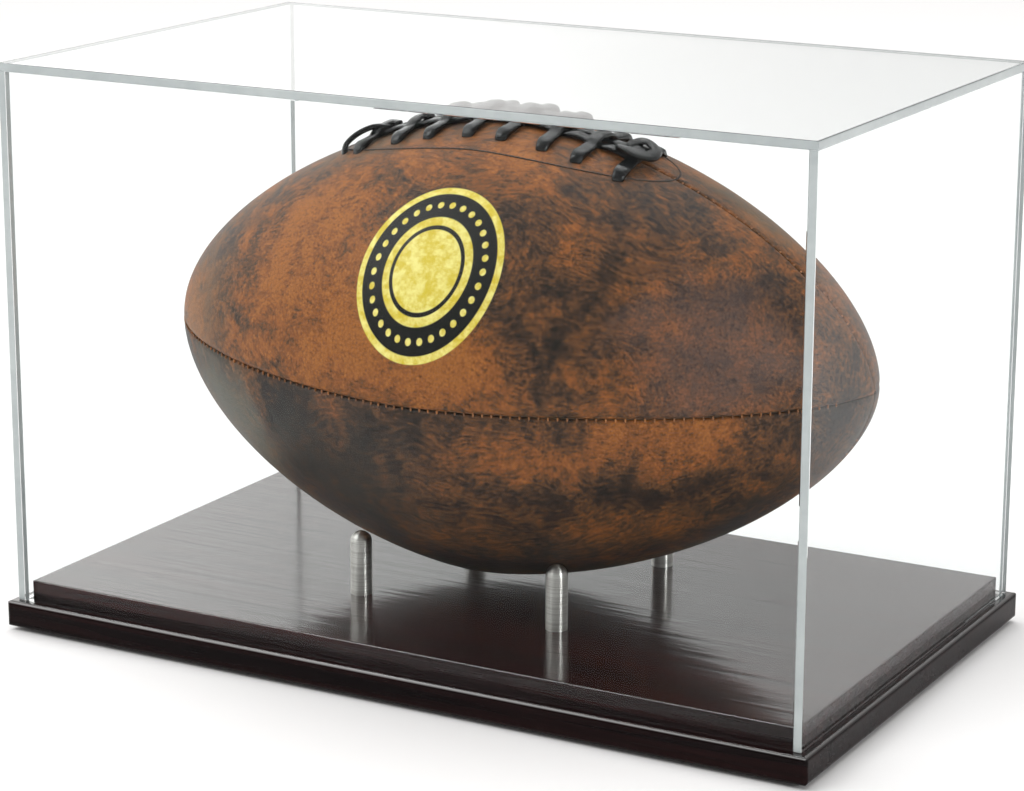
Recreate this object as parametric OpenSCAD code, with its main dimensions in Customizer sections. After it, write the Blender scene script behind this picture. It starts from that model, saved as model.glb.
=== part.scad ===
// Display case for a full-size football: a lacquered wooden base with a raised panel,
// four polished pegs that cradle the ball, a cemented clear cover that lifts off, and the
// sewn leather ball itself as a separate body that turns on its pegs.
// Frame: +X along the case, +Y to its back, +Z up.
// Origin under the middle of the base, where the feet stand.

/* [Football] */
// Length of the ball from tip to tip
ball_l = 283; // [220:1:350]
// Greatest diameter of the ball
ball_d = 169; // [135:1:210]
// Thickness of the leather
leather_t = 2; // [1.2:0.1:2.6]
// Thickness of the cloth lining behind the leather
lining_t = 1; // [0.6:0.1:1.4]
// Wall of the rubber bladder
bladder_t = 1; // [0.8:0.1:1.6]
// Gap between neighbouring panels at a seam
seam_gap = 0.3; // [0.2:0.05:0.5]
// How far the ball is rolled towards the front at rest, in degrees
ball_roll = 3; // [-20:1:20]

/* [Lace] */
// Number of cross laces
lace_count = 8; // [5:1:10]
// Distance from one cross lace to the next
lace_pitch = 15; // [11:0.5:18]
// Length of a cross lace, measured round the ball
lace_reach = 40; // [28:1:44]
// Width of the lace
lace_w = 5.5; // [4:0.5:7]
// Thickness of the lace
lace_t = 1.9; // [1.2:0.1:2.4]
// Distance from the middle seam to the middle of each lengthwise run
lace_run_offset = 3.4; // [3:0.1:5]
// Thickness of the leather backing under the lacing
backing_t = 0.8; // [0.5:0.1:1.5]

/* [Cover] */
// Thickness of the clear sheet
sheet_t = 3; // [2:0.5:6]
// Room between each tip of the ball and the cover
end_room = 15.5; // [8:0.5:40]
// Room between the ball's side and the cover
side_room = 7.5; // [6.5:0.5:30]
// Room between the lacing and the cover's top
top_room = 13.5; // [6:0.5:60]
// Gap all round between the cover and the raised panel
cover_play = 1; // [0.3:0.1:3]

/* [Base] */
// Thickness of the base board
board_t = 10; // [9:0.5:20]
// How far the base board stands out past the cover
board_ledge = 3.3; // [1:0.1:20]
// Radius of the base board's eased edges
board_ease_r = 1.6; // [0.5:0.1:3]
// Thickness of the raised panel
raised_t = 7.2; // [6:0.1:15]
// Radius of the raised panel's eased edges
raised_ease_r = 0.7; // [0.3:0.1:1.5]
// Diameter of a foot pad
foot_d = 14; // [8:1:24]
// Thickness of a foot pad
foot_t = 1.5; // [1:0.5:5]
// Distance from the base board's edge to the middle of a foot pad
foot_inset = 20; // [14:1:40]

/* [Pegs] */
// Diameter of a peg
peg_d = 8; // [6:0.5:14]
// Height of a peg above the raised panel, to the top of its dome
peg_h = 24; // [18:0.5:50]
// Distance between pegs along the case
peg_pitch_x = 82; // [60:1:120]
// Distance between pegs across the case
peg_pitch_y = 85; // [60:1:105]
// Clearance under the ball at each peg
rest_gap = 0.3; // [0.2:0.05:0.6]

/* [Fasteners] */
// Thread diameter of the screws that hold the pegs
peg_screw_d = 4; // [3:0.5:5]
// How far a peg screw reaches into its peg
peg_screw_grip = 9; // [6:0.5:14]
// Head diameter of a peg screw
peg_head_d = 7.6; // [6:0.2:10]
// Head height of a peg screw
peg_head_h = 2.4; // [1.5:0.1:3.5]
// Diameter of a peg washer
washer_d = 10; // [8:0.5:14]
// Thickness of a peg washer
washer_t = 0.8; // [0.5:0.1:1.5]
// Thread diameter of the wood screws that hold the raised panel
wood_screw_d = 3.5; // [3:0.5:4.5]
// Head diameter of a wood screw
wood_head_d = 6.8; // [5.5:0.1:9]
// How far a wood screw reaches into the raised panel
wood_screw_grip = 5; // [3:0.5:5.5]
// Distance from the base board's edge to a wood screw
wood_screw_inset = 38; // [24:1:60]
// Clearance between a screw and its hole, on the radius
hole_play = 0.1; // [0.05:0.05:0.3]

/* [Hidden] */

tiny = 0.01;              // overlap that makes a cut run clean through a face
round_fn = 48;            // facets of a plain round
profile_steps = 30;       // points along half of the ball's outline
shape_power = 1.66;       // the outline is R * (1 - (x/a)^shape_power)^shape_root:
shape_root = 0.59;        // fuller than a pointed arc, more tapered than an ellipse
tip_hole_r = 0.8;         // the panels leave a pinhole where they meet at each tip
dome_steps = 12;          // facets from the foot to the top of a peg's dome
corner_fn = 32;           // facets once round a board's eased edge
crown_share = 0.8;        // flat of a peg screw's crowned head, of the head's diameter
crown_h_share = 0.4;      // height of that crown, of the head's height
counterbore_play = 0.5;   // gap round a washer in its counterbore
seat_turns = 8;           // steps that settle where the ball touches a peg
recess_w = 0.9;           // width of a cross recess in a screw head
recess_share = 0.62;      // length of a cross recess, of the head's diameter
recess_depth_share = 0.55; // depth of a cross recess, of the head's height
ply_play = 0.05;          // gap between two plies of the ball
bore_depth_play = 0.5;    // how much deeper a blind hole is than its screw
seat_play = 0.6;          // how far a peg screw's head stays up inside the base board
ball_fn = 96;             // facets once round the ball
backing_margin_l = 10;    // how far the tongue reaches past the last lace
backing_margin_w = 7;     // how far the tongue reaches past the laces' ends
lace_foot_inset = 0.4;    // how far a lace's foot lies inside its edges
run_end_inset = 1;        // how far the lengthwise runs end inside the outermost laces
valve_angle = 60;         // the valve is this far round from the laced seam, in degrees
valve_x = 6;              // and this far from the ball's middle
valve_r = 2.6;            // radius of the valve's plug
valve_flange_r = 6;       // radius of its flange
valve_flange_t = 1.2;     // thickness of its flange
valve_flange_gap = 1;     // gap between its flange and the bladder's flat-lying wall
valve_sink = 0.6;         // how far the plug lies under the skin
needle_hole_r = 0.6;      // radius of the needle's hole
needle_hole_h = 3.4;      // depth of the needle's hole

ball_r = ball_d / 2;
ball_a = ball_l / 2;
peg_r = peg_d / 2;
peg_x = peg_pitch_x / 2;
peg_y = peg_pitch_y / 2;

// Height levels
ledge_z = foot_t + board_t;
panel_z = ledge_z + raised_t;
ball_z = panel_z + peg_h - peg_r + sqrt(pow(seat_rho(), 2) - pow(peg_y, 2));
lace_top = 2 * lace_t + ply_play;
lace_span = lace_pitch * (lace_count - 1) + lace_w;
cover_inner_h = ball_z - ledge_z + ball_r + lace_top + top_room;

// Depths of the inner plies under the ball's outline
backing_depth = leather_t + lining_t + ply_play;
bladder_depth = backing_depth + backing_t + ply_play;

// Plan sizes
cover_inner_l = ball_l + 2 * end_room;
cover_inner_d = ball_d + 2 * side_room;
cover_l = cover_inner_l + 2 * sheet_t;
cover_d = cover_inner_d + 2 * sheet_t;
raised_l = cover_inner_l - 2 * cover_play;
raised_d = cover_inner_d - 2 * cover_play;
board_l = cover_l + 2 * board_ledge;
board_d = cover_d + 2 * board_ledge;
foot_x = board_l / 2 - foot_inset;
foot_y = board_d / 2 - foot_inset;

// Peg fastening: head and washer sit in a counterbore under the base board
counterbore_r = washer_d / 2 + counterbore_play;
counterbore_h = peg_head_h + washer_t + seat_play;
screw_seat_z = foot_t + counterbore_h;
peg_screw_tip_z = panel_z + peg_screw_grip;
peg_screw_l = peg_screw_tip_z - screw_seat_z + washer_t + peg_head_h;
peg_crown_h = peg_head_h * crown_h_share;

// Radius of the ball's outline at x, for a ball of half-length a and radius r
function outline(x, a, r) = r * pow(max(0, 1 - pow(abs(x) / a, shape_power)), shape_root);
// Slope of that outline at x > 0
function outline_slope(x) =
    -ball_r * shape_root * shape_power / ball_a * pow(x / ball_a, shape_power - 1)
    * pow(1 - pow(x / ball_a, shape_power), shape_root - 1);
// Place along the ball where a peg's dome, grown by the rest gap, would touch it
function seat_x(x, turns) =
    turns == 0 ? x : seat_x(peg_x - (peg_r + rest_gap) * sin(atan(-outline_slope(x))), turns - 1);
// Distance from the ball's axis to the centre of a peg's dome
function seat_rho() =
    let (x = seat_x(peg_x, seat_turns))
    outline(x, ball_a, ball_r) + (peg_r + rest_gap) * cos(atan(-outline_slope(x)));

// Half-lengths spaced more closely towards the tips: from -a to a, cosine spaced
function stations(a) = [for (i = [0 : 2 * profile_steps]) -a * cos(90 * i / profile_steps)];
// Closed section of one ply: depth is how far its outer face lies under the ball's outline
function ply_section(depth, thickness, hole) =
    let (
        ao = ball_a - depth, ro = ball_r - depth,
        ai = ao - thickness, ri = ro - thickness,
        outer = [for (x = stations(ao)) if (outline(x, ao, ro) > hole) [outline(x, ao, ro), x]],
        inner = [for (x = stations(ai)) if (outline(x, ai, ri) > hole) [outline(x, ai, ri), x]],
        last_o = outer[len(outer) - 1], last_i = inner[len(inner) - 1]
    )
    concat(
        [[hole, outer[0][1]]], outer, [[hole, last_o[1]]],
        [[hole, last_i[1]]], [for (i = [len(inner) - 1 : -1 : 0]) inner[i]], [[hole, inner[0][1]]]
    );

module mirrored_pair(x) {
    for (s = [-1, 1]) translate([s * x, 0, 0]) children();
}

module four_at(x, y) {
    for (sy = [-1, 1]) translate([0, sy * y, 0]) mirrored_pair(x) children();
}

// A rectangle with its corners rounded by radius r
module rounded_rect(l, w, r) {
    square([l - 2 * r, w], center = true);
    square([l, w - 2 * r], center = true);
    for (sx = [-1, 1], sy = [-1, 1])
        translate([sx * (l / 2 - r), sy * (w / 2 - r)]) circle(r = r, $fn = corner_fn);
}

// A board with all its edges eased by radius r, standing on z = 0
module eased_board(l, d, t, r) {
    intersection() {
        linear_extrude(t) rounded_rect(l, d, r);
        translate([0, d / 2, t / 2]) rotate([90, 0, 0]) linear_extrude(d) rounded_rect(l, t, r);
        translate([-l / 2, 0, t / 2]) rotate([90, 0, 90]) linear_extrude(l) rounded_rect(d, t, r);
    }
}

// The same with a sharp foot: the lower edges are cut away
module eased_panel(l, d, t, r) {
    intersection() {
        translate([0, 0, -r]) eased_board(l, d, t + r, r);
        translate([-l / 2, -d / 2, 0]) cube([l, d, t]);
    }
}

// Wood screws: one near each corner
module at_wood_screws() {
    four_at(board_l / 2 - wood_screw_inset, board_d / 2 - wood_screw_inset) children();
}

// ---- Base ----

module base_board() {
    color([0.13, 0.07, 0.06])
    difference() {
        translate([0, 0, foot_t]) eased_board(board_l, board_d, board_t, board_ease_r);
        four_at(peg_x, peg_y) {
            translate([0, 0, foot_t - tiny])
                cylinder(r = counterbore_r, h = counterbore_h + tiny, $fn = round_fn);
            translate([0, 0, foot_t])
                cylinder(r = peg_screw_d / 2 + hole_play, h = board_t + tiny, $fn = round_fn);
        }
        at_wood_screws() {
            translate([0, 0, foot_t - tiny]) wood_screw_body(hole_play);
        }
    }
}

module raised_panel() {
    color([0.15, 0.08, 0.07])
    difference() {
        translate([0, 0, ledge_z]) eased_panel(raised_l, raised_d, raised_t, raised_ease_r);
        four_at(peg_x, peg_y)
            translate([0, 0, ledge_z - tiny])
                cylinder(r = peg_screw_d / 2 + hole_play, h = raised_t + 2 * tiny, $fn = round_fn);
        at_wood_screws()
            translate([0, 0, ledge_z - tiny])
                cylinder(
                    r = wood_screw_d / 2 + hole_play, h = wood_screw_grip + bore_depth_play, $fn = round_fn
                );
    }
}

module foot(sx, sy) {
    color([0.16, 0.15, 0.14])
    translate([sx * foot_x, sy * foot_y, 0]) cylinder(d = foot_d, h = foot_t, $fn = round_fn);
}

// ---- Pegs and fasteners ----

// Upright pin with a hemispherical top, tapped from below for its screw
module peg(sx, sy) {
    color([0.80, 0.80, 0.78])
    translate([sx * peg_x, sy * peg_y, panel_z])
        difference() {
            rotate_extrude($fn = round_fn)
                polygon(concat(
                    [[0, 0], [peg_r, 0]],
                    [
                        for (i = [0 : dome_steps])
                            let (t = 90 * i / dome_steps)
                            [peg_r * cos(t), peg_h - peg_r + peg_r * sin(t)]
                    ]
                ));
            translate([0, 0, -tiny])
                cylinder(
                    r = peg_screw_d / 2 + hole_play, h = peg_screw_grip + bore_depth_play, $fn = round_fn
                );
        }
}

module cross_recess(head_d, head_h) {
    for (turn = [0, 90])
        rotate([0, 0, turn])
            translate([-head_d * recess_share / 2, -recess_w / 2, -tiny])
                cube([head_d * recess_share, recess_w, head_h * recess_depth_share + tiny]);
}

module peg_screws() {
    color([0.62, 0.62, 0.60])
    four_at(peg_x, peg_y)
        translate([0, 0, screw_seat_z - washer_t - peg_head_h])
            difference() {
                union() {
                    cylinder(d1 = peg_head_d * crown_share, d2 = peg_head_d, h = peg_crown_h, $fn = round_fn);
                    translate([0, 0, peg_crown_h])
                        cylinder(d = peg_head_d, h = peg_head_h - peg_crown_h, $fn = round_fn);
                    cylinder(d = peg_screw_d, h = peg_screw_l, $fn = round_fn);
                }
                cross_recess(peg_head_d, peg_head_h);
            }
}

module peg_washers() {
    color([0.70, 0.70, 0.68])
    four_at(peg_x, peg_y)
        translate([0, 0, screw_seat_z - washer_t])
            difference() {
                cylinder(d = washer_d, h = washer_t, $fn = round_fn);
                translate([0, 0, -tiny])
                    cylinder(r = peg_screw_d / 2 + hole_play, h = washer_t + 2 * tiny, $fn = round_fn);
            }
}

// Countersunk head and shank; play grows it into the hole that takes it
module wood_screw_body(play) {
    head_r = wood_head_d / 2 + play;
    shank_r = wood_screw_d / 2 + play;
    cylinder(r1 = head_r, r2 = shank_r, h = head_r - shank_r, $fn = round_fn);
    cylinder(r = shank_r, h = board_t + wood_screw_grip, $fn = round_fn);
}

module panel_screws() {
    color([0.55, 0.52, 0.42])
    at_wood_screws()
        translate([0, 0, foot_t])
            difference() {
                wood_screw_body(0);
                cross_recess(wood_head_d, (wood_head_d - wood_screw_d) / 2);
            }
}

// ---- Cover ----

module clear_sheet(size, at) {
    color([0.90, 0.95, 0.96, 0.25])
    translate([at[0] - size[0] / 2, at[1] - size[1] / 2, at[2]]) cube(size);
}

module cover_side(sx) {
    clear_sheet([sheet_t, cover_d, cover_inner_h], [sx * (cover_l - sheet_t) / 2, 0, ledge_z]);
}

module cover_face(sy) {
    clear_sheet([cover_inner_l, sheet_t, cover_inner_h], [0, sy * (cover_d - sheet_t) / 2, ledge_z]);
}

module cover_top() {
    clear_sheet([cover_l, cover_d, sheet_t], [0, 0, ledge_z + cover_inner_h]);
}

// ---- Football ----
// Its pieces are drawn about the ball's own centre, with its length on X and its laced seam on top.

// Sets a piece of the ball in its place on the pegs, rolled a little to the front
module seated() {
    translate([0, 0, ball_z]) rotate([ball_roll, 0, 0]) children();
}

// Lays what is revolved about +Z along X. Angle 0 then points up, and angles grow towards the back.
module along_ball() {
    rotate([0, 90, 0]) rotate([0, 0, 180]) children();
}

// One quarter of a ply, from the seam at start to the next, less half the seam gap at each side
module quarter_ply(start, depth, thickness) {
    gap_angle = atan(seam_gap / ball_r);
    valve_cut()
        along_ball()
            rotate([0, 0, start + gap_angle / 2])
                rotate_extrude(angle = 90 - gap_angle, $fn = ball_fn)
                    polygon(ply_section(depth, thickness, tip_hole_r));
}

module football_panel(start) {
    color([0.50, 0.24, 0.11]) seated() quarter_ply(start, 0, leather_t);
}

module football_lining(start) {
    color([0.75, 0.70, 0.60]) seated() quarter_ply(start, leather_t + ply_play, lining_t - ply_play);
}

// The tongue behind the lacing: a curved strip across the top seam
module football_lace_backing() {
    half_length = lace_span / 2 + backing_margin_l;
    span_angle = 2 * asin((lace_reach / 2 + backing_margin_w) / ball_r);
    color([0.35, 0.20, 0.12])
    seated()
        intersection() {
            along_ball()
                rotate([0, 0, -span_angle / 2])
                    rotate_extrude(angle = span_angle, $fn = ball_fn)
                        polygon(ply_section(backing_depth, backing_t, tip_hole_r));
            translate([-half_length, -ball_r, 0]) cube([2 * half_length, ball_d, ball_r]);
        }
}

module football_bladder() {
    a = ball_a - bladder_depth;
    r = ball_r - bladder_depth;
    ai = a - bladder_t;
    ri = r - bladder_t;
    color([0.10, 0.10, 0.10])
    seated()
        valve_cut()
            along_ball()
                rotate_extrude($fn = ball_fn)
                    polygon(concat(
                        [for (x = stations(a)) [outline(x, a, r), x]],
                        [
                            for (i = [2 * profile_steps : -1 : 0])
                                let (x = stations(ai)[i])
                                [outline(x, ai, ri), x]
                        ]
                    ));
}

// Stands +Z on the valve's line, square to the ball's skin
module at_valve() {
    rotate([-valve_angle, 0, 0]) translate([valve_x, 0, 0]) children();
}

// The hole for the valve through whichever plies the valve's line meets
module valve_cut() {
    difference() {
        children();
        at_valve()
            translate([0, 0, ball_r / 2])
                cylinder(r = valve_r + hole_play, h = ball_r, $fn = round_fn);
    }
}

// A rubber plug with a flange inside the bladder and a pinhole for the needle
module football_valve() {
    flange_top = ball_r - bladder_depth - bladder_t - valve_flange_gap;
    flange_foot = flange_top - valve_flange_t;
    plug_top = ball_r - valve_sink;
    color([0.08, 0.08, 0.08])
    seated()
        at_valve()
            difference() {
                union() {
                    translate([0, 0, flange_foot])
                        cylinder(r = valve_flange_r, h = valve_flange_t, $fn = round_fn);
                    translate([0, 0, flange_foot])
                        cylinder(r = valve_r, h = plug_top - flange_foot, $fn = round_fn);
                }
                translate([0, 0, plug_top - needle_hole_h])
                    cylinder(r = needle_hole_r, h = needle_hole_h + tiny, $fn = round_fn);
            }
}

// Two lengthwise runs under the cross laces, which end under the outermost ones
module lace_runs() {
    half = lace_span / 2 - run_end_inset;
    xs = [for (i = [-12 : 12]) half * i / 12];
    for (side = [-1, 1])
        translate([0, side * lace_run_offset + lace_w / 2, 0])
            rotate([90, 0, 0])
                linear_extrude(lace_w)
                    polygon(concat(
                        [for (x = xs) [x, outline(x, ball_a, ball_r) + ply_play]],
                        [
                            for (i = [len(xs) - 1 : -1 : 0])
                                [xs[i], outline(xs[i], ball_a, ball_r) + ply_play + lace_t]
                        ]
                    ));
}

// Section of a lace of width w, laid across the ball at x, between two heights over the skin
function lace_section(x, w, low, high) =
    let (xs = [x - w / 2, x, x + w / 2])
    concat(
        [for (v = xs) [outline(v, ball_a, ball_r) + low, v]],
        [for (i = [2 : -1 : 0]) [outline(xs[i], ball_a, ball_r) + high, xs[i]]]
    );

// Sweeps a lace section over an arc of the given length, from so far off the top seam
module lace_arc(from, length) {
    rotate([0, 0, from / ball_r * 180 / PI])
        rotate_extrude(angle = length / ball_r * 180 / PI, $fn = ball_fn) children();
}

// A cross lace: a band pressed a little into the runs, with a narrower foot under each end
module cross_lace(x) {
    foot_w = lace_w - 2 * lace_foot_inset;
    along_ball() {
        lace_arc(-lace_reach / 2, lace_reach)
            polygon(lace_section(x, lace_w, lace_t - lace_foot_inset, lace_top));
        for (from = [lace_foot_inset - lace_reach / 2, lace_reach / 2 - lace_foot_inset - foot_w / 2])
            lace_arc(from, foot_w / 2)
                polygon(lace_section(x, foot_w, ply_play, lace_top - lace_foot_inset));
    }
}

module football_lace() {
    color([0.05, 0.06, 0.07])
    seated() {
        lace_runs();
        for (i = [0 : lace_count - 1]) cross_lace(lace_pitch * (i - (lace_count - 1) / 2));
    }
}

base_board();
raised_panel();
foot(-1, -1);  // foot_front_left
foot(1, -1);  // foot_front_right
foot(-1, 1);  // foot_rear_left
foot(1, 1);  // foot_rear_right
peg(-1, -1);  // peg_front_left
peg(1, -1);  // peg_front_right
peg(-1, 1);  // peg_rear_left
peg(1, 1);  // peg_rear_right
peg_washers();
peg_screws();
panel_screws();
cover_top();
cover_face(-1);  // cover_front
cover_face(1);  // cover_rear
cover_side(-1);  // cover_left
cover_side(1);  // cover_right
football_panel(270);  // football_panel_upper_front
football_panel(0);  // football_panel_upper_rear
football_panel(180);  // football_panel_lower_front
football_panel(90);  // football_panel_lower_rear
football_lining(270);  // football_lining_upper_front
football_lining(0);  // football_lining_upper_rear
football_lining(180);  // football_lining_lower_front
football_lining(90);  // football_lining_lower_rear
football_lace();
football_lace_backing();
football_bladder();
football_valve();
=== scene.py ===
"""Looks for a football display case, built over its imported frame.

A lacquered base with a raised panel carries four steel pegs and a clear cover.
A laced leather ball lies on the pegs. Each sub-assembly is a class that builds its
own pieces with bmesh operators and dresses the frame's nodes in procedural finishes.
"""
import logging
import math
from dataclasses import dataclass, field
from enum import Enum
from typing import Callable, Iterable, Sequence

import bmesh
import bpy
from mathutils import Matrix, Vector


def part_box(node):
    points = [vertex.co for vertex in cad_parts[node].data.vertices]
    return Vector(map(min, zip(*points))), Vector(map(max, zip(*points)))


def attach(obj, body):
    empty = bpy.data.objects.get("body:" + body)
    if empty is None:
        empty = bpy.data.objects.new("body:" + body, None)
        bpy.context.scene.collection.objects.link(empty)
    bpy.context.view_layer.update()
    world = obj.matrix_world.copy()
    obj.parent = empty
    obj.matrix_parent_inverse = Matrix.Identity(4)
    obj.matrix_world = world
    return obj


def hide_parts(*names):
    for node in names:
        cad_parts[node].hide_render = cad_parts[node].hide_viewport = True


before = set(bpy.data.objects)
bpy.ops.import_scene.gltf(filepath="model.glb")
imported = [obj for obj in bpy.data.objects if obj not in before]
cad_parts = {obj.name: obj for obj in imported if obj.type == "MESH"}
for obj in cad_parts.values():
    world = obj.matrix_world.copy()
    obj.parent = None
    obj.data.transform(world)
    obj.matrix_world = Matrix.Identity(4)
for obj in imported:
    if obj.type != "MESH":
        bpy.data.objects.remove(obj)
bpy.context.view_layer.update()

LOG = logging.getLogger("display_case")
MM = 0.001

Colour = tuple[float, float, float, float]
Socket = bpy.types.NodeSocket
Stop = tuple[float, float, float]


def srgb(code: str) -> Colour:
    """Turn a hex colour into the linear colour that shaders take.

    Args:
        code: Six hex digits, such as "c08040".

    Returns:
        Red, green, blue and an alpha of 1, all linear.
    """
    parts = [int(code[i:i + 2], 16) / 255 for i in (0, 2, 4)]
    linear = [c / 12.92 if c <= 0.04045 else ((c + 0.055) / 1.055) ** 2.4 for c in parts]
    return (linear[0], linear[1], linear[2], 1.0)


class Tree:
    """A node tree being wired, with short calls for the nodes that the finishes use.

    A value that feeds a node is either another node's socket or a plain number,
    vector or colour.
    """

    def __init__(self, tree: bpy.types.NodeTree) -> None:
        """Wrap a shader or group tree."""
        self.tree = tree

    def node(self, kind: str, **settings: object) -> bpy.types.Node:
        """Add a node and set its properties.

        Args:
            kind: The node's type, such as "ShaderNodeMath".
            **settings: Properties to set on it.

        Returns:
            The new node.
        """
        made = self.tree.nodes.new(kind)
        for name, value in settings.items():
            setattr(made, name, value)
        return made

    def feed(self, socket: Socket, value: object) -> None:
        """Link a socket into an input, or set the input to a plain value.

        Args:
            socket: The input.
            value: What it gets.
        """
        if isinstance(value, bpy.types.NodeSocket):
            self.tree.links.new(value, socket)
        else:
            socket.default_value = value

    def math(self, operation: str, first: object, second: object = 0.0,
             clamp: bool = False) -> Socket:
        """Do one sum.

        Args:
            operation: The operation, such as "MULTIPLY".
            first: A value.
            second: Another value.
            clamp: Whether the result is kept from 0 to 1.

        Returns:
            The result.
        """
        made = self.node("ShaderNodeMath", operation=operation, use_clamp=clamp)
        self.feed(made.inputs[0], first)
        self.feed(made.inputs[1], second)
        return made.outputs[0]

    def plus(self, first: object, second: object) -> Socket:
        """Add two values."""
        return self.math("ADD", first, second)

    def minus(self, first: object, second: object) -> Socket:
        """Take the second value from the first."""
        return self.math("SUBTRACT", first, second)

    def times(self, first: object, second: object) -> Socket:
        """Multiply two values."""
        return self.math("MULTIPLY", first, second)

    def vector(self, operation: str, first: object,
               second: object = (0.0, 0.0, 0.0)) -> Socket:
        """Do one sum on vectors.

        Args:
            operation: The operation, such as "ADD".
            first: A vector.
            second: Another vector.

        Returns:
            The resulting vector, or number for LENGTH and DOT_PRODUCT.
        """
        made = self.node("ShaderNodeVectorMath", operation=operation)
        self.feed(made.inputs[0], first)
        self.feed(made.inputs[1], second)
        return made.outputs["Value" if operation in ("LENGTH", "DOT_PRODUCT") else "Vector"]

    def scale(self, vector: object, factor: object) -> Socket:
        """Scale a vector evenly.

        Args:
            vector: The vector.
            factor: How much longer it gets.

        Returns:
            The scaled vector.
        """
        made = self.node("ShaderNodeVectorMath", operation="SCALE")
        self.feed(made.inputs[0], vector)
        self.feed(made.inputs["Scale"], factor)
        return made.outputs["Vector"]

    def axes(self, vector: object) -> tuple[Socket, Socket, Socket]:
        """Split a vector.

        Args:
            vector: The vector.

        Returns:
            Its X, Y and Z.
        """
        made = self.node("ShaderNodeSeparateXYZ")
        self.feed(made.inputs[0], vector)
        return made.outputs["X"], made.outputs["Y"], made.outputs["Z"]

    def ramp(self, value: object, low: float, high: float, to_low: float = 0.0,
             to_high: float = 1.0) -> Socket:
        """Smoothly remap a value.

        Args:
            value: What is remapped.
            low: Where the result is to_low.
            high: Where the result is to_high.
            to_low: Result at and below low.
            to_high: Result at and above high.

        Returns:
            The result.
        """
        made = self.node("ShaderNodeMapRange", interpolation_type="SMOOTHSTEP")
        self.feed(made.inputs["Value"], value)
        made.inputs["From Min"].default_value = low
        made.inputs["From Max"].default_value = high
        made.inputs["To Min"].default_value = to_low
        made.inputs["To Max"].default_value = to_high
        return made.outputs["Result"]

    def fade(self, value: object, low: float, high: float) -> Socket:
        """Smoothly fall from 1 at low to 0 at high."""
        return self.ramp(value, low, high, 1.0, 0.0)

    def mix(self, share: object, first: object, second: object) -> Socket:
        """Mix two colours.

        Args:
            share: How much of the second colour, from 0 to 1.
            first: A colour.
            second: Another colour.

        Returns:
            The mixed colour.
        """
        made = self.node("ShaderNodeMix", data_type="RGBA")
        self.feed(made.inputs[0], share)
        self.feed(made.inputs[6], first)
        self.feed(made.inputs[7], second)
        return made.outputs[2]

    def noise(self, vector: object, scale: float, detail: float = 3.0,
              roughness: float = 0.55, distortion: float = 0.0) -> Socket:
        """Sample a noise texture.

        Args:
            vector: Where it is sampled.
            scale: Its scale.
            detail: Its octaves.
            roughness: How strong the finer octaves are.
            distortion: How much it is stirred.

        Returns:
            A value from about 0.25 to 0.75.
        """
        made = self.node("ShaderNodeTexNoise")
        self.feed(made.inputs["Vector"], vector)
        made.inputs["Scale"].default_value = scale
        made.inputs["Detail"].default_value = detail
        made.inputs["Roughness"].default_value = roughness
        made.inputs["Distortion"].default_value = distortion
        return made.outputs["Fac"]

    def offset(self, vector: object, scale: float) -> Socket:
        """Make a noise vector centred on nothing, to stir another texture's coordinates.

        Args:
            vector: Where it is sampled.
            scale: Its scale.

        Returns:
            The vector, with parts from about -0.25 to 0.25.
        """
        made = self.node("ShaderNodeTexNoise")
        self.feed(made.inputs["Vector"], vector)
        made.inputs["Scale"].default_value = scale
        return self.vector("SUBTRACT", made.outputs["Color"], (0.5, 0.5, 0.5))

    def cells(self, vector: object, scale: object, feature: str, randomness: float) -> Socket:
        """Sample a Voronoi texture.

        Args:
            vector: Where it is sampled.
            scale: Its scale.
            feature: Which distance it gives, such as "SMOOTH_F1".
            randomness: How uneven its cells are.

        Returns:
            The distance.
        """
        made = self.node("ShaderNodeTexVoronoi", feature=feature)
        self.feed(made.inputs["Vector"], vector)
        self.feed(made.inputs["Scale"], scale)
        made.inputs["Randomness"].default_value = randomness
        return made.outputs["Distance"]

    def place(self, vector: object, location: Sequence[float] = (0, 0, 0),
              rotation: Sequence[float] = (0, 0, 0),
              scale: Sequence[float] = (1, 1, 1)) -> Socket:
        """Scale, turn and then move a vector with a Mapping node.

        Args:
            vector: The vector.
            location: How far it moves.
            rotation: How it turns, in radians.
            scale: Its scale along each axis.

        Returns:
            The placed vector.
        """
        made = self.node("ShaderNodeMapping", vector_type="POINT")
        self.feed(made.inputs["Vector"], vector)
        made.inputs["Location"].default_value = location
        made.inputs["Rotation"].default_value = rotation
        made.inputs["Scale"].default_value = scale
        return made.outputs["Vector"]

    def object_coordinates(self) -> Socket:
        """Give the piece's own coordinates, which are the row frame's at rest."""
        return self.node("ShaderNodeTexCoord").outputs["Object"]

    def bump(self, height: object, distance: float, strength: float = 1.0,
             normal: Socket | None = None) -> Socket:
        """Raise a surface by a height.

        Args:
            height: The height, from 0 to 1.
            distance: What a height of 1 stands for, in metres.
            strength: How much of it shows.
            normal: A normal to start from.

        Returns:
            The new normal.
        """
        made = self.node("ShaderNodeBump")
        made.inputs["Distance"].default_value = distance
        made.inputs["Strength"].default_value = strength
        self.feed(made.inputs["Height"], height)
        if normal is not None:
            self.feed(made.inputs["Normal"], normal)
        return made.outputs["Normal"]

    def group(self, tree: bpy.types.NodeTree, **values: object) -> bpy.types.NodeOutputs:
        """Place a shared effect and feed its inputs.

        Args:
            tree: The node group.
            **values: Inputs by name.

        Returns:
            The placed effect's outputs.
        """
        made = self.node("ShaderNodeGroup", node_tree=tree)
        for name, value in values.items():
            self.feed(made.inputs[name], value)
        return made.outputs


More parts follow.
